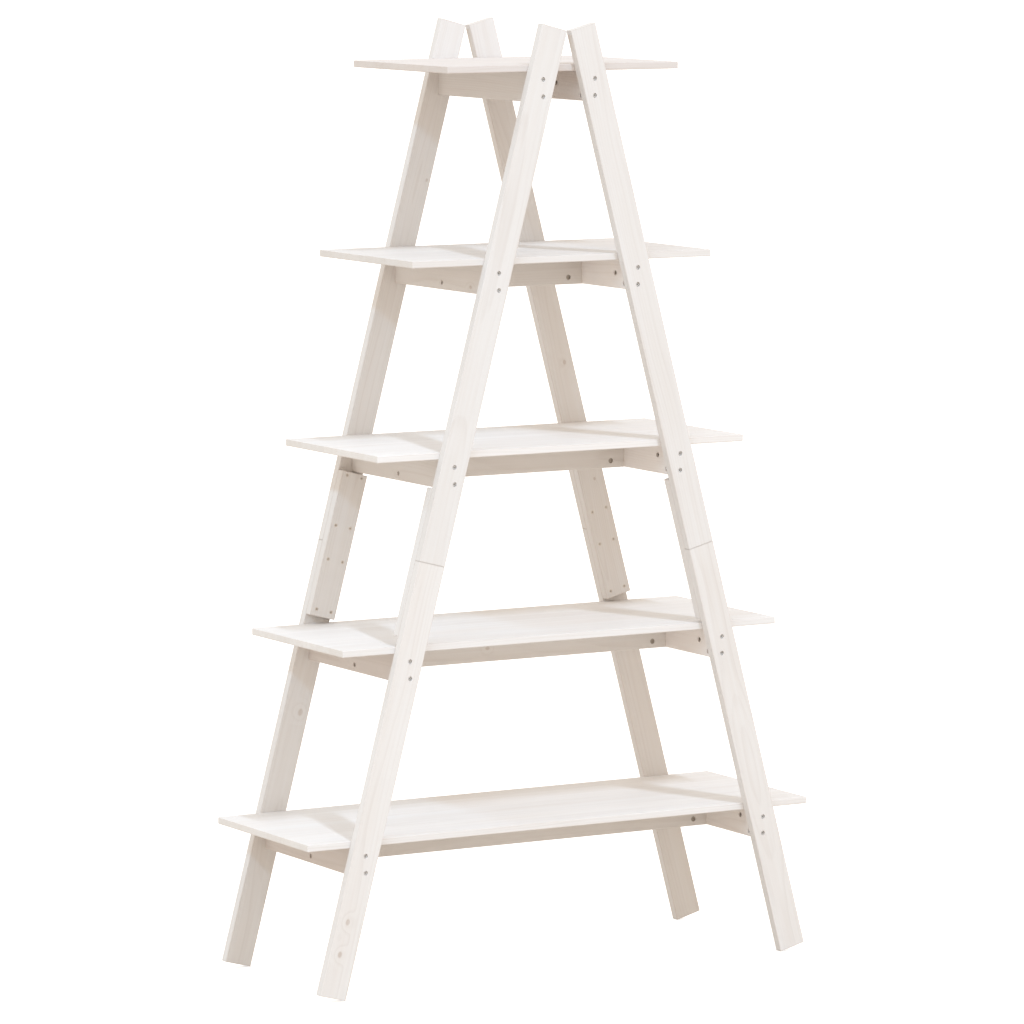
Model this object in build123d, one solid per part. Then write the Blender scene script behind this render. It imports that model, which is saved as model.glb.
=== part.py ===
from build123d import *
import math

# Ladder shelf: two A-frames of softwood boards, one in front and one behind, carry five
# shelf boards that get shorter towards the top.  The frames are bolted together.
#
# Frame: millimetres, X to the right, Y to the back, Z up.  The origin is on the floor,
# under the middle of the shelf unit.  Shelf 1 is the lowest and shelf 5 the highest.

# ---- driving dimensions -------------------------------------------------------------
HEIGHT = 1800.0
DEPTH = 400.0
BOARD = 18.0                # thickness of every board of the frame
LEG_WIDTH = 55.0
LEAN = 14.9                 # lean of each leg from the vertical, degrees
TOP_GAP = 7.4               # between the inner top corners of a left and a right leg
UPPER_LEG = 1023.0          # length of the upper board of each leg, above its seam

SHELVES = 5
SHELF_THICKNESS = 13.0
SHELF_PITCH = 357.0
TOP_SHELF_UNDERSIDE = 1710.5
TOP_SHELF_LENGTH = 500.0
SHELF_LENGTH_STEP = 149.0   # each shelf is this much longer than the one above
SHELF_CORNER = 3.0          # radius of a shelf board's four corners

BEARER_HEIGHT = 57.0        # crossbars and rails stand on edge under the shelves
EDGE = 1.5                  # rounding along the long edges of the boards
EASED_END = 0.5             # chamfer round the ends that meet at a seam, and a plate's ends

BOLT_DROPS = (14.0, 46.0)   # leg bolts below the underside of their shelf
RAIL_BOLT_DROP = 43.5
BOLT_SHANK = 5.0
LEG_BOLT_LENGTH = 40.0
RAIL_BOLT_LENGTH = 50.0
BOLT_HEAD = 8.5
BOLT_HEAD_HEIGHT = 5.0
BOLT_HEAD_ROUNDING = 0.5
BOLT_TIP_CHAMFER = 0.6
BOLT_KEY = 4.0              # across the flats of the socket
BOLT_KEY_DEPTH = 2.5
BOLT_HOLE = 5.5
BOLT_HOLE_SPARE = 2.0       # how far a bolt's hole runs past its tip
COUNTERBORE = 9.0
COUNTERBORE_DEPTH = 8.0

NUT_DIAMETER = 10.0
NUT_LENGTH = 13.0
NUT_CHAMFER = 0.4
NUT_THREAD = 5.1
NUT_SLOT_WIDTH = 1.2
NUT_SLOT_DEPTH = 1.0
NUT_BORE = 10.2
LEG_NUT_FROM_END = 17.0     # from the end of the crossbar that the bolt pulls on
RAIL_NUT_FROM_END = 30.0    # from the end of the rail that the bolt pulls on

PLATE_LENGTH = 282.0        # splice plate behind the seam of each leg
PLATE_ABOVE_SEAM = 138.0
SCREW_ROWS = (-131.0, -33.0, 33.0, 131.0)   # along the leg, from the seam
SCREW_COLUMNS = (11.5, 43.5)                # across the leg, from its inner edge
SPLICE_SCREW_LENGTH = 30.0
SPLICE_SCREW_SHANK = 3.5
SPLICE_SCREW_HEAD = 7.0
SPLICE_SCREW_SINK = 0.4     # head below the face of the plate
SPLICE_SCREW_RECESS = 3.8   # across the arms of its cross recess
SPLICE_SCREW_RECESS_DEPTH = 1.2
SCREW_POINT = 0.3           # radius of the blunt point

CAM_DROPS = (19.0, 27.0, 22.0, 28.0, 26.0)  # middle of the connector cams below shelves 1 to 5
CAM_FROM_END = 50.0         # from the end of the crossbar
TOP_CAM_FROM_END = 110.0    # the same under the top shelf
CAM_RECESS = 6.0            # across the arms of its cross recess
CAM_RECESS_DEPTH = 1.6
CAM_CHAMBER = 6.4           # diameter of the space for the pin's head
CAM_CHAMBER_REACH = 3.4     # from the middle of the cam to the wall that holds the head
CAM_MOUTH = 3.5             # diameter of the passage for the pin's neck
PIN_HEAD = 6.0
PIN_HEAD_REACH = 3.0        # from the middle of the cam to the top of the head
PIN_NECK = 3.0
PIN_NECK_REACH = 7.0
PIN_SHANK = 5.0
PIN_IN_SHELF = 9.5

CLEARANCE = 0.1             # between a fastener and its hole, on the diameter

# ---- places worked out from them ----------------------------------------------------
LEAN_SIN = math.sin(math.radians(LEAN))
LEAN_COS = math.cos(math.radians(LEAN))
INNER_FACE = DEPTH / 2 - BOARD           # inner face of the back frame; the front's is its mirror
LEG_LENGTH = (HEIGHT - LEG_WIDTH * LEAN_SIN) / LEAN_COS
LEVELS = range(1, SHELVES + 1)
SIDES = (("left", -1), ("right", 1))
FRAMES = (("front", -1), ("back", 1))


def shelf_underside(level):
    return TOP_SHELF_UNDERSIDE - (SHELVES - level) * SHELF_PITCH


def shelf_length(level):
    return TOP_SHELF_LENGTH + (SHELVES - level) * SHELF_LENGTH_STEP


def leg_point(side, along, across):
    """X and Z of a point of a leg: along it from the top, and across it from the inner edge."""
    x = side * (TOP_GAP / 2 + along * LEAN_SIN + across * LEAN_COS)
    z = (LEG_LENGTH - along) * LEAN_COS + across * LEAN_SIN
    return x, z


def crossbar_x(level):
    """Crossbars are centred where the upper bolt meets the middle line of the leg."""
    bolt_z = shelf_underside(level) - BOLT_DROPS[0]
    along = LEG_LENGTH - (bolt_z - LEG_WIDTH / 2 * LEAN_SIN) / LEAN_COS
    return leg_point(1, along, LEG_WIDTH / 2)[0]


# ---- fasteners: axis along Z, seat of the head at the origin, tip towards -Z --------
def cross_recess(width, depth):
    """A cross that reaches depth below the origin."""
    return Box(width, width / 5, 2 * depth) + Box(width / 5, width, 2 * depth)


def bolt(length):
    shank = Pos(0, 0, -length / 2) * Cylinder(BOLT_SHANK / 2, length)
    shank = chamfer(shank.edges().group_by(Axis.Z)[0], BOLT_TIP_CHAMFER)
    head = Pos(0, 0, BOLT_HEAD_HEIGHT / 2) * Cylinder(BOLT_HEAD / 2, BOLT_HEAD_HEIGHT)
    head = fillet(head.edges().group_by(Axis.Z)[-1], BOLT_HEAD_ROUNDING)
    socket = extrude(RegularPolygon(BOLT_KEY / math.sqrt(3), 6), BOLT_KEY_DEPTH)
    return shank + head - Pos(0, 0, BOLT_HEAD_HEIGHT - BOLT_KEY_DEPTH) * socket


def bolt_hole(depth_past_seat):
    """Counterbore above the seat, clearance hole below it."""
    hole = Pos(0, 0, -depth_past_seat / 2) * Cylinder(BOLT_HOLE / 2, depth_past_seat)
    return hole + Pos(0, 0, COUNTERBORE_DEPTH) * Cylinder(COUNTERBORE / 2, 2 * COUNTERBORE_DEPTH)


def barrel_nut():
    """Centred on the origin, axis along Z, thread along X, screwdriver slot at the +Z end."""
    body = Cylinder(NUT_DIAMETER / 2, NUT_LENGTH)
    body = chamfer(body.edges().filter_by(GeomType.CIRCLE), NUT_CHAMFER)
    thread = Rot(0, 90, 0) * Cylinder(NUT_THREAD / 2, 2 * NUT_DIAMETER)
    slot = Pos(0, 0, NUT_LENGTH / 2) * Box(2 * NUT_DIAMETER, NUT_SLOT_WIDTH, 2 * NUT_SLOT_DEPTH)
    return body - thread - slot


def nut_hole():
    """Blind hole for a barrel nut or a cam, open past the +Z face of the board."""
    open_length = NUT_LENGTH + BOARD
    return Pos(0, 0, BOARD / 2) * Cylinder(NUT_BORE / 2, open_length)


def screw_shank(radius, length):
    tip = 2 * radius
    body = Pos(0, 0, -(length - tip) / 2) * Cylinder(radius, length - tip)
    point = Pos(0, 0, -length + tip / 2) * Cone(SCREW_POINT, radius, tip)
    return body + point


def screw_head(radius):
    """A countersunk head with its flat top at the origin."""
    return Pos(0, 0, -radius / 2) * Cone(SCREW_POINT, radius, radius)


def splice_screw():
    """Countersunk: its flat top is at the origin."""
    screw = screw_shank(SPLICE_SCREW_SHANK / 2, SPLICE_SCREW_LENGTH) + screw_head(SPLICE_SCREW_HEAD / 2)
    return screw - cross_recess(SPLICE_SCREW_RECESS, SPLICE_SCREW_RECESS_DEPTH)


def splice_screw_hole():
    gap = CLEARANCE / 2
    radius = SPLICE_SCREW_HEAD / 2 + gap
    mouth = Pos(0, 0, SPLICE_SCREW_SINK) * Cylinder(radius, 2 * SPLICE_SCREW_SINK)
    shank = screw_shank(SPLICE_SCREW_SHANK / 2 + gap, SPLICE_SCREW_LENGTH + gap)
    return shank + screw_head(radius) + mouth


def rod(diameter, start, end):
    """A round bar on the Z axis."""
    return Pos(0, 0, (start + end) / 2) * Cylinder(diameter / 2, end - start)


def shelf_cam():
    """Shelf connector: a drum in a crossbar.  The pin comes in along +X; the recess is at +Z."""
    drum = Cylinder(NUT_DIAMETER / 2, NUT_LENGTH)
    drum = chamfer(drum.edges().filter_by(GeomType.CIRCLE), NUT_CHAMFER)
    chamber = rod(CAM_CHAMBER, -CAM_CHAMBER_REACH, CAM_CHAMBER_REACH)
    passage = chamber + rod(CAM_MOUTH, CAM_CHAMBER_REACH, NUT_DIAMETER)
    recess = Pos(0, 0, NUT_LENGTH / 2) * cross_recess(CAM_RECESS, CAM_RECESS_DEPTH)
    return drum - Rot(0, 90, 0) * passage - recess


def cam_drop(level):
    return CAM_DROPS[level - 1]


def shelf_pin(level):
    """Shelf connector: a pin from the cam at the origin up into the shelf."""
    head = rod(PIN_HEAD, -PIN_HEAD_REACH, PIN_HEAD_REACH)
    neck = rod(PIN_NECK, PIN_HEAD_REACH, PIN_NECK_REACH)
    shank = rod(PIN_SHANK, PIN_NECK_REACH, cam_drop(level) + PIN_IN_SHELF)
    return fillet(head.edges(), BOLT_HEAD_ROUNDING) + neck + shank


def shelf_pin_hole(level):
    return rod(PIN_SHANK + CLEARANCE, 0, cam_drop(level) + PIN_IN_SHELF + CLEARANCE)


# ---- where the fasteners go ---------------------------------------------------------
def leg_bolt_places(level, side, end):
    """Bolts run along Y through a leg into the end of a crossbar; their heads face outwards."""
    places = []
    for drop in BOLT_DROPS:
        seat_y = end * (DEPTH / 2 - COUNTERBORE_DEPTH)
        z = shelf_underside(level) - drop
        places.append(Pos(side * crossbar_x(level), seat_y, z) * Rot(-90 * end, 0, 0))
    return places


def leg_nut_places(level, side, end):
    """Nuts lie along X and are put in from the inner face of the crossbar."""
    places = []
    for drop in BOLT_DROPS:
        y = end * (INNER_FACE - LEG_NUT_FROM_END)
        z = shelf_underside(level) - drop
        places.append(Pos(side * crossbar_x(level), y, z) * Rot(0, 0, 90) * Rot(side * -90, 0, 0))
    return places


def rail_bolt_place(level, side):
    """Bolts run along X through a crossbar into the end of the rail."""
    seat_x = side * (crossbar_x(level) + BOARD / 2 - COUNTERBORE_DEPTH)
    z = shelf_underside(level) - RAIL_BOLT_DROP
    return Pos(seat_x, 0, z) * Rot(0, 90 * side, 0)


def rail_nut_place(level, side):
    """Nuts lie along Y and are put in from the front of the rail."""
    x = side * (crossbar_x(level) - BOARD / 2 - RAIL_NUT_FROM_END)
    z = shelf_underside(level) - RAIL_BOLT_DROP
    return Pos(x, 0, z) * Rot(90, 0, 0)


def shelf_pin_place(level, side, end):
    """Pins stand in the crossbars and reach up into the shelf."""
    from_end = TOP_CAM_FROM_END if level == SHELVES else CAM_FROM_END
    y = end * (INNER_FACE - from_end)
    return Pos(side * crossbar_x(level), y, shelf_underside(level) - cam_drop(level))


def shelf_cam_place(level, side, end):
    """Cams lie along X round the foot of each pin, and are put in from the inner face."""
    return shelf_pin_place(level, side, end) * Rot(0, -90 * side, 0) * Rot(0, 0, 90 - 90 * side)


def splice_screw_places(side, end):
    """Screws run along Y from the inner face of a splice plate into the leg."""
    places = []
    for row in SCREW_ROWS:
        for column in SCREW_COLUMNS:
            x, z = leg_point(side, UPPER_LEG + row, column)
            y = end * (INNER_FACE - BOARD + SPLICE_SCREW_SINK)
            places.append(Pos(x, y, z) * Rot(90 * end, 0, 0))
    return places


# ---- boards -------------------------------------------------------------------------
def sawn_board(size_x, size_y, size_z, grain):
    """Rounded along its long edges, with square sawn ends."""
    board = Box(size_x, size_y, size_z)
    return fillet(board.edges().filter_by(grain), EDGE)


def leg_board(side, y_middle, start, length, eased_ends):
    """A board of a leg, or a plate behind it, from start to start + length below the top.

    An eased end is 0 for the lower end of the board and -1 for its upper end.
    """
    board = sawn_board(LEG_WIDTH, BOARD, length, Axis.Z)
    for end in eased_ends:
        board = chamfer(board.edges().group_by(Axis.Z)[end], EASED_END)
    x, z = leg_point(side, start + length / 2, LEG_WIDTH / 2)
    return Pos(x, y_middle, z) * Rot(0, -side * LEAN, 0) * board


def corners():
    return [(side, end) for _, side in SIDES for _, end in FRAMES]


def cut(board, tool, places):
    for place in places:
        board = board - place * tool
    return board


def leg(side, end, start, length, levels, seam_end):
    board = leg_board(side, end * (INNER_FACE + BOARD / 2), start, length, [seam_end])
    hole = bolt_hole(BOARD)
    for level in levels:
        board = cut(board, hole, leg_bolt_places(level, side, end))
    return cut(board, splice_screw_hole(), splice_screw_places(side, end))


def splice_plate(side, end):
    start = UPPER_LEG - PLATE_ABOVE_SEAM
    plate = leg_board(side, end * (INNER_FACE - BOARD / 2), start, PLATE_LENGTH, [0, -1])
    return cut(plate, splice_screw_hole(), splice_screw_places(side, end))


def shelf(level):
    board = Box(shelf_length(level), 2 * INNER_FACE, SHELF_THICKNESS)
    board = fillet(board.edges().filter_by(Axis.Z), SHELF_CORNER)
    board = fillet(board.edges().group_by(Axis.Z)[-1] + board.edges().group_by(Axis.Z)[0], EDGE)
    board = Pos(0, 0, shelf_underside(level) + SHELF_THICKNESS / 2) * board
    return cut(board, shelf_pin_hole(level), [shelf_pin_place(level, side, end) for side, end in corners()])


def crossbar(level, side):
    board = sawn_board(BOARD, 2 * INNER_FACE, BEARER_HEIGHT, Axis.Y)
    board = Pos(side * crossbar_x(level), 0, shelf_underside(level) - BEARER_HEIGHT / 2) * board
    for _, end in FRAMES:
        board = cut(board, bolt_hole(LEG_BOLT_LENGTH + BOLT_HOLE_SPARE), leg_bolt_places(level, side, end))
        board = cut(board, nut_hole(), leg_nut_places(level, side, end))
        board = cut(board, nut_hole(), [shelf_cam_place(level, side, end)])
        board = cut(board, shelf_pin_hole(level), [shelf_pin_place(level, side, end)])
    if level < SHELVES:
        board = cut(board, bolt_hole(BOARD), [rail_bolt_place(level, side)])
    return board


def rail(level):
    board = sawn_board(2 * crossbar_x(level) - BOARD, BOARD, BEARER_HEIGHT, Axis.X)
    board = Pos(0, 0, shelf_underside(level) - BEARER_HEIGHT / 2) * board
    for _, side in SIDES:
        board = cut(board, bolt_hole(RAIL_BOLT_LENGTH + BOLT_HOLE_SPARE), [rail_bolt_place(level, side)])
        board = cut(board, nut_hole(), [rail_nut_place(level, side)])
    return board


# ---- the parts ----------------------------------------------------------------------
def group(shape, places):
    """Copies of one fastener, as separate solids of one part."""
    return Compound(children=[place * shape for place in places])


def save(shape, name):
    export_step(shape, "parts/" + name + ".step")


upper_levels = [level for level in LEVELS if shelf_underside(level) > leg_point(1, UPPER_LEG, 0)[1]]
lower_levels = [level for level in LEVELS if level not in upper_levels]
one_splice_screw = splice_screw()
for frame_name, frame_end in FRAMES:
    for side_name, leg_side in SIDES:
        corner = frame_name + "_" + side_name
        upper_leg = leg(leg_side, frame_end, 0, UPPER_LEG, upper_levels, 0)
        lower_leg = leg(leg_side, frame_end, UPPER_LEG, LEG_LENGTH - UPPER_LEG, lower_levels, -1)
        save(upper_leg, "leg_" + corner + "_upper")
        save(lower_leg, "leg_" + corner + "_lower")
        save(splice_plate(leg_side, frame_end), "splice_plate_" + corner)
        save(group(one_splice_screw, splice_screw_places(leg_side, frame_end)), "splice_screws_" + corner)

leg_bolt = bolt(LEG_BOLT_LENGTH)
rail_bolt = bolt(RAIL_BOLT_LENGTH)
one_nut = barrel_nut()
one_cam = shelf_cam()
for shelf_level in LEVELS:
    number = str(shelf_level)
    save(shelf(shelf_level), "shelf_" + number)
    for side_name, bar_side in SIDES:
        save(crossbar(shelf_level, bar_side), "crossbar_" + side_name + "_" + number)
    bolts = [place for side, end in corners() for place in leg_bolt_places(shelf_level, side, end)]
    nuts = [place for side, end in corners() for place in leg_nut_places(shelf_level, side, end)]
    cams = [shelf_cam_place(shelf_level, side, end) for side, end in corners()]
    pins = [shelf_pin_place(shelf_level, side, end) for side, end in corners()]
    save(group(leg_bolt, bolts), "leg_bolts_" + number)
    save(group(one_nut, nuts), "leg_barrel_nuts_" + number)
    save(group(one_cam, cams), "shelf_cams_" + number)
    save(group(shelf_pin(shelf_level), pins), "shelf_pins_" + number)
    if shelf_level < SHELVES:
        save(rail(shelf_level), "rail_" + number)
        save(group(rail_bolt, [rail_bolt_place(shelf_level, side) for _, side in SIDES]),
             "rail_bolts_" + number)
        save(group(one_nut, [rail_nut_place(shelf_level, side) for _, side in SIDES]),
             "rail_barrel_nuts_" + number)
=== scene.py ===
import math
import random

import bpy
from mathutils import Matrix, Vector


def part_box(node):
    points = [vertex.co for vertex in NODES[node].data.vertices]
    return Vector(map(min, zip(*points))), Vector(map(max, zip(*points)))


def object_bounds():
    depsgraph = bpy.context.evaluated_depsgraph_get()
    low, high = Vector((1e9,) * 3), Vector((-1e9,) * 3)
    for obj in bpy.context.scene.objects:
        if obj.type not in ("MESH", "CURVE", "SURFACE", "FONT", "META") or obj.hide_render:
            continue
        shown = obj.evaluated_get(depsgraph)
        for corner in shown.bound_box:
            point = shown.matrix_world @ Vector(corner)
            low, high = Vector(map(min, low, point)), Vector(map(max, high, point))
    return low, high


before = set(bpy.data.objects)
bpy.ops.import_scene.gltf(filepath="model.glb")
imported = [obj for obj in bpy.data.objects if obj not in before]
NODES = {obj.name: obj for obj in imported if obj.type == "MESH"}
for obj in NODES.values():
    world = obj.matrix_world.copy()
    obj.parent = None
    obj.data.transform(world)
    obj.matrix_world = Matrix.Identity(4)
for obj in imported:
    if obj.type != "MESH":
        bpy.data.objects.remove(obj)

# A whitewashed pine ladder shelf: every board keeps its CAD shape and gets its own piece of
# procedural timber, cut from the tree along that board's grain. All lengths are in metres.

CAD_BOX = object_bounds()

LEVELS = range(1, 6)
SIDES = ("left", "right")
FACES = ("front", "back")
LEG_WIDTH = 0.055
GRAIN_SEED = 11

# Camera: where it stands, the direction it looks in and its lens.
CAMERA_PLACE = (-5.472, -9.450, 2.138)
CAMERA_TURN = 30.04        # degrees, from +Y towards +X
CAMERA_DIP = 6.65          # degrees below the horizontal
SENSOR = 36.0              # mm
LENS = 202.6               # mm

# Light: two distant softboxes and an even pale sky. A softbox has the way that its light
# travels, its irradiance on the object in W/m2, its colour, and its breadth and length as
# shares of its distance.
SOFTBOX_DISTANCE = 18.0
KEY = {"travel": (-0.055, 0.87, -1.0), "irradiance": 1.42, "colour": (0.60, 0.77, 1.0),
       "breadth": 0.03, "length": 0.13}
LEFT_FILL = {"travel": (1.15, 0.5, -1.0), "irradiance": 1.24, "colour": (0.44, 0.71, 1.0),
             "breadth": 0.05, "length": 1.0}
SKY_STRENGTH = 1.04
SKY_COLOUR = (1.0, 0.95, 0.89)
SKY_SEEN = 1.25            # what the camera sees of it
FLOOR_SPAN = 400.0
FLOOR_TONE = 0.90
FLOOR_GRIT = 0.01
FLOOR_SHINE = 0.60         # what the camera sees on top of its own light: it is as white as the sky
FLOOR_DROP = 0.0005

# Timber, as linear colours.
EARLY_WOOD = (0.60, 0.475, 0.375)
LATE_WOOD = (0.47, 0.345, 0.25)
WHITEWASH = (0.78, 0.735, 0.700)
KNOT_HEART = (0.36, 0.22, 0.13)
END_GRAIN = (0.60, 0.50, 0.40)
RING_SPACING = 0.0042
SHELF_STAVE = 0.052
WHOLE_BOARD = 5.0          # a stave this wide means that the board is one piece
PITH_WANDER = 0.045
WEAR_REACH = 0.0030
GRAIN_RELIEF = 0.00012
SEAM_SHADE = 0.82          # of the wood beside a seam
SEAM_REACH = (0.0004, 0.0014)   # from the seam to where its shade begins to fade and where it ends

# Four tones that multiply a board's colour. One is plain, and three paint light or shade into whole
# boards: painted light on the lower shelves, brighter painted light on the inner faces of the lower right
# crossbars, and painted shade on the top shelf and the most shaded crossbars. Boards in no list are plain.
PAINTED_LIGHT_TONE = (1.04, 1.05, 1.05)
PLAIN_WASH = (0.97, 0.97, 0.96)
STRONG_PAINTED_LIGHT_TONE = (1.15, 1.15, 1.15)
PAINTED_SHADE_TONE = (0.90, 0.87, 0.85)
PAINTED_LIGHT_BOARDS = ("shelf_1", "shelf_2", "shelf_3")
STRONG_PAINTED_LIGHT_BOARDS = ("crossbar_right_1", "crossbar_right_2", "crossbar_right_3", "crossbar_right_4")
PAINTED_SHADE_BOARDS = ("shelf_5", "crossbar_left_1", "crossbar_left_2", "crossbar_right_5")
TONE_SPREAD = 0.012        # how much one board differs from the next

# The share of the wood that the wash hides, what varies it and what it loses in some places.
WASH_COVER = 0.88
FULL_COVER = 0.97
PATCH_CONTRAST = 0.30
STREAK_CONTRAST = 0.30
FIBRE_CONTRAST = 0.14
STAVE_CONTRAST = 0.04      # of tone, from one stave to the next
LATE_THINS_WASH = 0.05
WEAR_THINS_WASH = 0.14
END_THINS_WASH = 0.15
KNOT_THINS_WASH = 0.26
WASH_ROUGHNESS = 0.56
FIBRES_ROUGHEN = 0.22
END_ROUGHENS = 0.16
WEAR_SMOOTHS = 0.08
WASH_SHEEN = 0.2           # the specular level of the wash

STEEL_RELIEF = 0.00006
EDGE_GLEAM = 1.9           # how much lighter rubbed steel edges are

# The knots of the boards that have them, at most two each: how far each one is from the middle
# of the board towards its end and its edge, as shares of the way, and its radius in metres.
KNOTS = {
    "leg_front_left_lower": [(-0.65, -0.2, 0.005), (-0.8, -0.25, 0.005)],
    "leg_back_left_lower": [(0.2, 0.35, 0.006)],
    "leg_back_left_upper": [(0.4, 0.7, 0.003)],
    "leg_back_right_upper": [(-0.35, 0.3, 0.004)],
    "splice_plate_back_right": [(0.7, 0.2, 0.003)],
    "rail_2": [(-0.2, -0.1, 0.004)],
    "crossbar_left_4": [(-0.6, -0.6, 0.004)],
}
NO_KNOT = (0.0, 0.0, 0.0)
KNOT_SQUEEZE = 0.72        # along the grain, which makes a knot longer than it is wide
KNOT_REACH = 4.5           # how many radii away a knot still bends the rings
KNOT_LIFT = 1.6            # how far it bends them, in radii
KNOT_RINGS = 14.0          # how closely its own rings lie


# ---------------------------------------------------------------- node helpers

def connect(tree, value, socket):
    """Links value to the socket if it is an output, and otherwise sets it."""
    if isinstance(value, bpy.types.NodeSocket):
        tree.links.new(value, socket)
    elif value is not None:
        socket.default_value = value


def add(tree, kind, values=(), named=None, **settings):
    """A new shader node: its inputs in order, its inputs by name, and its settings."""
    node = tree.nodes.new("ShaderNode" + kind)
    for name, value in settings.items():
        setattr(node, name, value)
    for socket, value in zip(node.inputs, values):
        connect(tree, value, socket)
    for name, value in (named or {}).items():
        connect(tree, value, node.inputs[name])
    return node


def calc(tree, operation, *values):
    """The result of a Math node."""
    return add(tree, "Math", values, operation=operation).outputs[0]


def swing(tree, value, size):
    """How far a value between 0 and 1 lies from its middle, times the size."""
    return calc(tree, "MULTIPLY", calc(tree, "SUBTRACT", value, 0.5), size)


def vec(tree, operation, *values):
    """The result of a Vector Math node: a number for a dot product or a length."""
    node = add(tree, "VectorMath", values, operation=operation)
    return node.outputs["Value" if operation in ("DOT_PRODUCT", "LENGTH") else "Vector"]


def split(tree, vector):
    """The three numbers of a vector."""
    return add(tree, "SeparateXYZ", [vector]).outputs[:]


def join(tree, x, y, z):
    """A vector from three numbers."""
    return add(tree, "CombineXYZ", [x, y, z]).outputs[0]


def ease(tree, value, low, high, start=0.0, end=1.0):
    """value eased from start to end as it goes from low to high."""
    node = add(tree, "MapRange", [value, low, high, start, end], interpolation_type="SMOOTHSTEP")
    return node.outputs[0]


def blend(tree, factor, first, second, mode="MIX"):
    """Two colours mixed."""
    node = add(tree, "Mix", data_type="RGBA", blend_type=mode)
    for socket, value in zip((node.inputs[0], node.inputs[6], node.inputs[7]), (factor, first, second)):
        if isinstance(value, tuple):
            value = (*value, 1.0)
        connect(tree, value, socket)
    return node.outputs[2]


def noise(tree, place, stretch, detail=2.0, roughness=0.5):
    """A noise texture: its value and its colour. stretch is how often it changes along each axis."""
    scaled = vec(tree, "MULTIPLY", place, stretch)
    named = {"Vector": scaled, "Scale": 1.0, "Detail": detail, "Roughness": roughness}
    node = add(tree, "TexNoise", named=named)
    return node.outputs[0], node.outputs[1]


def new_group(name, inputs, outputs):
    """An empty node group with its sockets, as (tree, input sockets by name, output node)."""
    tree = bpy.data.node_groups.new(name, "ShaderNodeTree")
    for socket_name, kind in inputs:
        tree.interface.new_socket(socket_name, in_out="INPUT", socket_type="NodeSocket" + kind)
    for socket_name, kind in outputs:
        tree.interface.new_socket(socket_name, in_out="OUTPUT", socket_type="NodeSocket" + kind)
    given = tree.nodes.new("NodeGroupInput")
    result = tree.nodes.new("NodeGroupOutput")
    return tree, {s.name: s for s in given.outputs if s.name}, result


# ---------------------------------------------------------------- timber

def knot_in_grain(tree, x, y, knot):
    """One knot: its lift of the rings round it, its hold on a point, and the point's distance in radii."""
    knot_x, knot_y, radius = split(tree, knot)
    along = calc(tree, "MULTIPLY", calc(tree, "SUBTRACT", x, knot_x), KNOT_SQUEEZE)
    across = calc(tree, "SUBTRACT", y, knot_y)
    distance = calc(tree, "SQRT", calc(tree, "ADD", calc(tree, "POWER", along, 2.0),
                                      calc(tree, "POWER", across, 2.0)))
    shares = calc(tree, "DIVIDE", distance, calc(tree, "MAXIMUM", radius, 0.0001))
    inside = ease(tree, shares, 0.55, 1.15, 1.0, 0.0)
    nearness = ease(tree, shares, 0.0, KNOT_REACH, 1.0, 0.0)
    lift = calc(tree, "MULTIPLY", nearness, calc(tree, "MULTIPLY", radius, KNOT_LIFT))
    return lift, inside, shares


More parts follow.
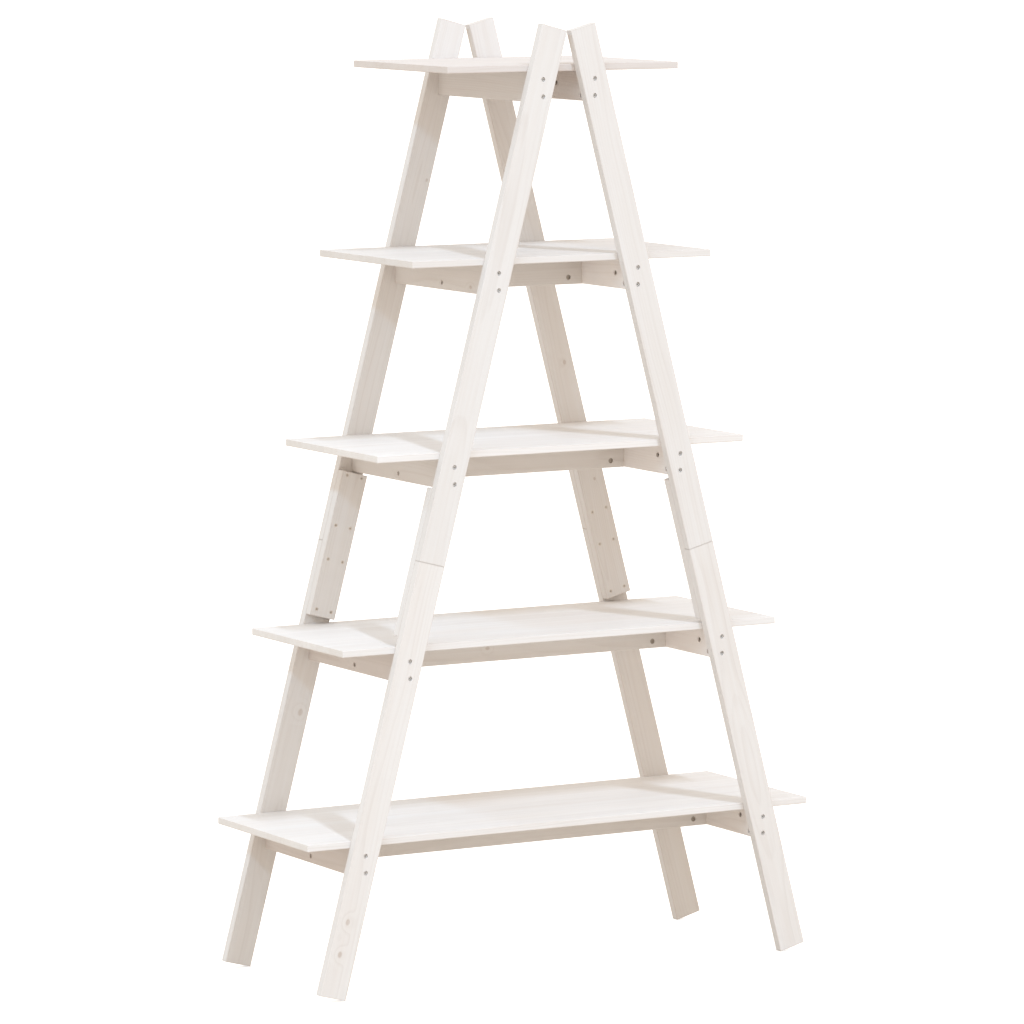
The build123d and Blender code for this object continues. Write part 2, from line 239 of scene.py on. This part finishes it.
def timber_group():
    """Whitewashed pine for one board, from where a point lies in the board."""
    tree, given, result = new_group(
        "whitewashed_pine",
        [("Centre", "Vector"), ("Grain", "Vector"), ("Width", "Vector"), ("Thickness", "Vector"),
         ("Half Size", "Vector"), ("Pith", "Vector"), ("Offset", "Vector"), ("Stave", "Float"),
         ("Tone", "Vector"), ("Seam", "Float"), ("Knot A", "Vector"), ("Knot B", "Vector")],
        [("Colour", "Color"), ("Roughness", "Float"), ("Height", "Float")])

    # Where the point is: along the grain, across the width and through the thickness.
    coords = add(tree, "TexCoord")
    place = vec(tree, "SUBTRACT", coords.outputs["Object"], given["Centre"])
    x = vec(tree, "DOT_PRODUCT", place, given["Grain"])
    y = vec(tree, "DOT_PRODUCT", place, given["Width"])
    z = vec(tree, "DOT_PRODUCT", place, given["Thickness"])

    # Glued staves: each one comes from another place in the tree.
    offset_x = split(tree, given["Offset"])[0]
    stave = calc(tree, "ROUND", calc(tree, "DIVIDE", y, given["Stave"]))
    chance = add(tree, "TexWhiteNoise", noise_dimensions="1D",
                 named={"W": calc(tree, "ADD", stave, offset_x)})
    luck = vec(tree, "SUBTRACT", chance.outputs["Color"], (0.5, 0.5, 0.5))
    stave_y = calc(tree, "SUBTRACT", y, calc(tree, "MULTIPLY", stave, given["Stave"]))
    in_stave = join(tree, x, stave_y, z)
    shift = vec(tree, "MULTIPLY", luck, (6.0, 0.05, 0.03))
    in_tree = vec(tree, "ADD", vec(tree, "ADD", in_stave, given["Offset"]), shift)

    # Growth rings round the pith, which wanders along the board and gives way to knots.
    wander = vec(tree, "SCALE", vec(tree, "SUBTRACT", noise(tree, in_tree, (1.3, 5.0, 5.0), 2.0)[1],
                                    (0.5, 0.5, 0.5)))
    wander.node.inputs["Scale"].default_value = PITH_WANDER
    drift = vec(tree, "ADD", wander, vec(tree, "MULTIPLY", luck, (0.0, 0.03, 0.02)))
    across = vec(tree, "ADD", vec(tree, "ADD", join(tree, 0.0, stave_y, z), given["Pith"]),
                 vec(tree, "MULTIPLY", drift, (0.0, 1.0, 1.0)))
    lift_a, inside_a, shares_a = knot_in_grain(tree, x, y, given["Knot A"])
    lift_b, inside_b, shares_b = knot_in_grain(tree, x, y, given["Knot B"])
    radius = calc(tree, "ADD", vec(tree, "LENGTH", across), calc(tree, "ADD", lift_a, lift_b))
    ripple = noise(tree, in_tree, (3.0, 45.0, 45.0), 2.0)[0]
    rings = calc(tree, "ADD", calc(tree, "DIVIDE", radius, RING_SPACING), ripple)
    phase = calc(tree, "FRACT", rings)
    year = add(tree, "TexWhiteNoise", noise_dimensions="1D", named={"W": calc(tree, "FLOOR", rings)})
    late = calc(tree, "MULTIPLY", ease(tree, phase, 0.35, 0.88), ease(tree, phase, 0.90, 1.0, 1.0, 0.0))
    late = calc(tree, "MULTIPLY", late, ease(tree, year.outputs["Value"], 0.0, 1.0, 0.35, 1.0))

    # Fibres along the grain, at three widths, and slow patches of thicker and thinner wash.
    streaks = noise(tree, in_tree, (2.2, 95.0, 95.0), 3.0, 0.6)[0]
    fibres = noise(tree, in_tree, (9.0, 420.0, 420.0), 3.0, 0.6)[0]
    pores = noise(tree, in_tree, (40.0, 1900.0, 1900.0), 1.0)[0]
    patches = noise(tree, in_tree, (2.6, 14.0, 14.0), 2.0)[0]

    # The arrises, where the wash is rubbed thin: the middle one of the three distances to the faces.
    half_x, half_y, half_z = split(tree, given["Half Size"])
    gap_x = calc(tree, "SUBTRACT", half_x, calc(tree, "ABSOLUTE", x))
    gap_y = calc(tree, "SUBTRACT", half_y, calc(tree, "ABSOLUTE", y))
    gap_z = calc(tree, "SUBTRACT", half_z, calc(tree, "ABSOLUTE", z))
    arris = calc(tree, "MAXIMUM", calc(tree, "MINIMUM", gap_x, gap_y),
                 calc(tree, "MINIMUM", calc(tree, "MAXIMUM", gap_x, gap_y), gap_z))
    rub = noise(tree, in_tree, (30.0, 120.0, 120.0), 3.0, 0.6)[0]
    worn = ease(tree, calc(tree, "ADD", arris, calc(tree, "MULTIPLY", rub, WEAR_REACH)),
                WEAR_REACH * 0.5, WEAR_REACH * 1.5, 1.0, 0.0)

    # The colour: bare wood first, then the wash that hides most of it.
    facing = calc(tree, "ABSOLUTE", vec(tree, "DOT_PRODUCT", coords.outputs["Normal"], given["Grain"]))
    end = ease(tree, facing, 0.55, 0.90)
    bare = blend(tree, late, EARLY_WOOD, LATE_WOOD)
    bare = blend(tree, calc(tree, "MULTIPLY", end, 0.6), bare, END_GRAIN)
    inside = calc(tree, "MAXIMUM", inside_a, inside_b)
    knot_rings = calc(tree, "MULTIPLY_ADD", calc(tree, "SINE", calc(tree, "MULTIPLY",
                      calc(tree, "MINIMUM", shares_a, shares_b), KNOT_RINGS)), 0.10, 0.85)
    bare = blend(tree, calc(tree, "MULTIPLY", inside, knot_rings), bare, KNOT_HEART)
    cover = calc(tree, "ADD", WASH_COVER, swing(tree, patches, PATCH_CONTRAST))
    cover = calc(tree, "ADD", cover, swing(tree, streaks, STREAK_CONTRAST))
    cover = calc(tree, "ADD", cover, swing(tree, fibres, FIBRE_CONTRAST))
    cover = calc(tree, "SUBTRACT", cover, calc(tree, "MULTIPLY", late, LATE_THINS_WASH))
    cover = calc(tree, "SUBTRACT", cover, calc(tree, "MULTIPLY", worn, WEAR_THINS_WASH))
    cover = calc(tree, "SUBTRACT", cover, calc(tree, "MULTIPLY", end, END_THINS_WASH))
    cover = calc(tree, "SUBTRACT", cover, calc(tree, "MULTIPLY", inside, KNOT_THINS_WASH))
    cover = calc(tree, "MINIMUM", calc(tree, "MAXIMUM", cover, 0.0), FULL_COVER)
    colour = blend(tree, cover, bare, WHITEWASH)
    stave_tone = split(tree, luck)[1]
    tone = calc(tree, "MULTIPLY_ADD", stave_tone, STAVE_CONTRAST, 1.0)
    seam_gap = calc(tree, "SUBTRACT", half_x, calc(tree, "MULTIPLY", x, given["Seam"]))
    tone = calc(tree, "MULTIPLY", tone, ease(tree, seam_gap, *SEAM_REACH, SEAM_SHADE, 1.0))
    # The tone of the board, which for some boards is painted light or painted shade.
    colour = vec(tree, "MULTIPLY", colour, given["Tone"])
    colour = vec(tree, "MULTIPLY", colour, join(tree, tone, tone, tone))

    roughness = calc(tree, "ADD", WASH_ROUGHNESS, swing(tree, fibres, FIBRES_ROUGHEN))
    roughness = calc(tree, "ADD", roughness, calc(tree, "MULTIPLY", end, END_ROUGHENS))
    roughness = calc(tree, "SUBTRACT", roughness, calc(tree, "MULTIPLY", worn, WEAR_SMOOTHS))
    height = calc(tree, "ADD", calc(tree, "MULTIPLY", fibres, 0.9), calc(tree, "MULTIPLY", pores, 0.5))
    height = calc(tree, "ADD", height, calc(tree, "MULTIPLY", late, 0.5))
    height = calc(tree, "ADD", height, calc(tree, "MULTIPLY", inside, 0.4))

    connect(tree, colour, result.inputs["Colour"])
    connect(tree, roughness, result.inputs["Roughness"])
    connect(tree, height, result.inputs["Height"])
    return tree


def painted_light_tone_of(name):
    """The tone of a board: plain, or lighter with painted light, or darker with painted shade."""
    if name in PAINTED_LIGHT_BOARDS:
        return Vector(PAINTED_LIGHT_TONE)
    if name in STRONG_PAINTED_LIGHT_BOARDS:
        return Vector(STRONG_PAINTED_LIGHT_TONE)
    if name in PAINTED_SHADE_BOARDS:
        return Vector(PAINTED_SHADE_TONE)
    return Vector(PLAIN_WASH)


def timber(name, axes, half_size, group, chance, stave=WHOLE_BOARD, seam=0.0):
    """The material of one board, whose box gives its centre."""
    low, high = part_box(name)
    grain, width, thickness = axes
    material = bpy.data.materials.new("pine_" + name)
    material.use_nodes = True
    tree = material.node_tree
    shader = tree.nodes["Principled BSDF"]
    wood = tree.nodes.new("ShaderNodeGroup")
    wood.node_tree = group
    pith_side = chance.choice((-1.0, 1.0))
    pith = (0.0, chance.uniform(-0.020, 0.020), pith_side * chance.uniform(0.018, 0.060))
    offset = (chance.uniform(3, 90), chance.uniform(3, 90), chance.uniform(3, 90))
    knots = [(along * half_size[0], across * half_size[1], radius)
             for along, across, radius in KNOTS.get(name, ())]
    knots += [NO_KNOT, NO_KNOT]
    # The board's tone holds painted light or painted shade for some boards, spread a little at random.
    tone = painted_light_tone_of(name) * (1 + TONE_SPREAD * chance.uniform(-1, 1))
    values = {"Centre": (low + high) / 2, "Grain": grain, "Width": width, "Thickness": thickness,
              "Half Size": half_size, "Pith": pith, "Offset": offset, "Stave": stave,
              "Tone": tone, "Seam": seam, "Knot A": knots[0], "Knot B": knots[1]}
    for socket, value in values.items():
        wood.inputs[socket].default_value = value
    bump = add(tree, "Bump", named={"Height": wood.outputs["Height"], "Strength": 0.8,
                                    "Distance": GRAIN_RELIEF})
    connect(tree, wood.outputs["Colour"], shader.inputs["Base Color"])
    connect(tree, wood.outputs["Roughness"], shader.inputs["Roughness"])
    connect(tree, bump.outputs[0], shader.inputs["Normal"])
    shader.inputs["Specular IOR Level"].default_value = WASH_SHEEN
    return material


# ---------------------------------------------------------------- metal

def steel(name, dark, light, roughness, scratch):
    """A finished steel: uneven tone, fine scratches and a slightly rough skin."""
    material = bpy.data.materials.new(name)
    material.use_nodes = True
    tree = material.node_tree
    shader = tree.nodes["Principled BSDF"]
    shader.inputs["Metallic"].default_value = 1.0
    coords = add(tree, "TexCoord").outputs["Object"]
    cloud = noise(tree, coords, (260.0, 260.0, 260.0), 4.0, 0.6)[0]
    marks = noise(tree, coords, (900.0, 6000.0, 900.0), 2.0, 0.7)[0]
    mixed = calc(tree, "MULTIPLY_ADD", marks, 0.35, calc(tree, "MULTIPLY", cloud, 0.75))
    edge = ease(tree, add(tree, "NewGeometry").outputs["Pointiness"], 0.50, 0.58, 0.0, 0.55)
    colour = blend(tree, ease(tree, mixed, 0.30, 0.80), dark, light)
    colour = blend(tree, edge, colour, tuple(min(1.0, c * EDGE_GLEAM) for c in light))
    rough = calc(tree, "MULTIPLY_ADD", calc(tree, "SUBTRACT", mixed, 0.5), 0.30, roughness)
    bump = add(tree, "Bump", named={"Height": mixed, "Strength": scratch, "Distance": STEEL_RELIEF})
    connect(tree, colour, shader.inputs["Base Color"])
    connect(tree, rough, shader.inputs["Roughness"])
    connect(tree, bump.outputs[0], shader.inputs["Normal"])
    return material


# ---------------------------------------------------------------- finishing the nodes

def dress(name, material):
    """Gives a CAD node its material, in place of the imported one."""
    slots = NODES[name].data.materials
    slots.clear()
    slots.append(material)


def leg_axes(face, side):
    """Along, across and through a leg: its two boards lie end to end on one leaning line."""
    centres = [sum(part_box(f"leg_{face}_{side}_{part}"), Vector()) / 2 for part in ("lower", "upper")]
    grain = (centres[1] - centres[0]).normalized()
    thickness = Vector((0.0, 1.0, 0.0))
    return grain, thickness.cross(grain), thickness


def half_size_along(name, axes):
    """Half of an upright board's size along its own axes, from its box."""
    low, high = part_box(name)
    return tuple(abs((high - low).dot(axis)) / 2 for axis in axes)


def half_size_of_leaning(name, grain):
    """The same for a leaning board, whose width is known."""
    low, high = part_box(name)
    length = (high.z - low.z - LEG_WIDTH * abs(grain.x)) / grain.z
    return length / 2, LEG_WIDTH / 2, (high.y - low.y) / 2


def dress_boards():
    """Every board gets its own timber."""
    chance = random.Random(GRAIN_SEED)
    group = timber_group()
    along_x, along_y, along_z = Vector((1, 0, 0)), Vector((0, 1, 0)), Vector((0, 0, 1))
    for face in FACES:
        for side in SIDES:
            axes = leg_axes(face, side)
            boards = {f"leg_{face}_{side}_upper": -1.0, f"leg_{face}_{side}_lower": 1.0,
                      f"splice_plate_{face}_{side}": 0.0}
            for name, seam in boards.items():
                half = half_size_of_leaning(name, axes[0])
                dress(name, timber(name, axes, half, group, chance, seam=seam))
    for level in LEVELS:
        name = f"shelf_{level}"
        axes = (along_x, along_y, along_z)
        dress(name, timber(name, axes, half_size_along(name, axes), group, chance, SHELF_STAVE))
        for side in SIDES:
            name = f"crossbar_{side}_{level}"
            axes = (along_y, along_z, along_x)
            dress(name, timber(name, axes, half_size_along(name, axes), group, chance))
    for level in LEVELS[:-1]:
        name = f"rail_{level}"
        axes = (along_x, along_z, along_y)
        dress(name, timber(name, axes, half_size_along(name, axes), group, chance))


def dress_fasteners():
    """Bright zinc on the bolts, zinc darkened with painted shade on the nuts, cams and pins that sit in
    the bearers' bores, bronzed steel on the screws.
    """
    bright = steel("bright_zinc", (0.60, 0.585, 0.57), (0.82, 0.80, 0.78), 0.42, 0.4)
    # Zinc darkened as painted shade, for the parts that sit deep in the bores.
    zinc_in_painted_shade = steel("painted_shade_zinc", (0.20, 0.175, 0.15), (0.32, 0.285, 0.25), 0.46, 0.5)
    bronzed = steel("bronzed_steel", (0.33, 0.285, 0.245), (0.47, 0.415, 0.36), 0.44, 0.5)
    for name in NODES:
        if "screws" in name:
            dress(name, bronzed)
        elif "nuts" in name or "cams" in name or "pins" in name:
            dress(name, zinc_in_painted_shade)
        elif "bolts" in name:
            dress(name, bright)


# ---------------------------------------------------------------- floor, light and camera

def make_floor():
    """A wide plain floor, just under the feet."""
    half = FLOOR_SPAN / 2
    mesh = bpy.data.meshes.new("floor")
    corners = [(-half, -half), (half, -half), (half, half), (-half, half)]
    mesh.from_pydata([(x, y, -FLOOR_DROP) for x, y in corners], [], [(0, 1, 2, 3)])
    floor = bpy.data.objects.new("floor", mesh)
    bpy.context.scene.collection.objects.link(floor)
    material = bpy.data.materials.new("pale_floor")
    material.use_nodes = True
    tree = material.node_tree
    shader = tree.nodes["Principled BSDF"]
    grit = noise(tree, add(tree, "TexCoord").outputs["Object"], (60.0, 60.0, 60.0), 3.0)[0]
    tone = ease(tree, grit, 0.0, 1.0, FLOOR_TONE - FLOOR_GRIT, FLOOR_TONE + FLOOR_GRIT)
    connect(tree, join(tree, tone, tone, tone), shader.inputs["Base Color"])
    shader.inputs["Roughness"].default_value = 0.9
    shader.inputs["Specular IOR Level"].default_value = 0.1
    shader.inputs["Emission Color"].default_value = (1.0, 1.0, 1.0, 1.0)
    ray = add(tree, "LightPath").outputs["Is Camera Ray"]
    connect(tree, calc(tree, "MULTIPLY", ray, FLOOR_SHINE), shader.inputs["Emission Strength"])
    mesh.materials.append(material)
    return floor


def make_softbox(name, lit, travel, irradiance, colour, breadth, length):
    """A distant rectangle of light on the object and not the floor. Its long side leans along Y."""
    travel = Vector(travel).normalized()
    long_side = (Vector((0, 1, 0)) - travel * travel.y).normalized()
    short_side = long_side.cross(-travel)
    data = bpy.data.lights.new(name, "AREA")
    data.shape = "RECTANGLE"
    data.size = breadth * SOFTBOX_DISTANCE
    data.size_y = length * SOFTBOX_DISTANCE
    data.energy = irradiance * math.pi * SOFTBOX_DISTANCE ** 2
    data.color = colour
    lamp = bpy.data.objects.new(name, data)
    turn = Matrix((short_side, long_side, -travel)).transposed()
    middle = (CAD_BOX[0] + CAD_BOX[1]) / 2
    lamp.matrix_world = Matrix.Translation(middle - travel * SOFTBOX_DISTANCE) @ turn.to_4x4()
    lamp.visible_camera = False
    lamp.light_linking.receiver_collection = lit
    bpy.context.scene.collection.objects.link(lamp)


def make_light():
    """The sky and the two softboxes."""
    lit = bpy.data.collections.new("lit_by_softboxes")
    for node in NODES.values():
        lit.objects.link(node)
    make_softbox("key", lit, **KEY)
    make_softbox("left_fill", lit, **LEFT_FILL)
    world = bpy.data.worlds.new("sky")
    bpy.context.scene.world = world
    world.use_nodes = True
    tree = world.node_tree
    ray = add(tree, "LightPath").outputs["Is Camera Ray"]
    strength = calc(tree, "MULTIPLY_ADD", ray, SKY_SEEN - SKY_STRENGTH, SKY_STRENGTH)
    background = tree.nodes["Background"]
    background.inputs["Color"].default_value = (*SKY_COLOUR, 1.0)
    connect(tree, strength, background.inputs["Strength"])


def make_camera():
    """The camera, with no shift and no depth of field."""
    data = bpy.data.cameras.new("camera")
    data.sensor_width = SENSOR
    data.lens = LENS
    data.clip_end = FLOOR_SPAN
    camera = bpy.data.objects.new("camera", data)
    camera.location = CAMERA_PLACE
    camera.rotation_euler = (math.radians(90 - CAMERA_DIP), 0.0, -math.radians(CAMERA_TURN))
    bpy.context.scene.collection.objects.link(camera)
    bpy.context.scene.camera = camera


make_camera()
make_light()
make_floor()
dress_boards()
dress_fasteners()
bpy.context.scene.view_settings.view_transform = "Standard"
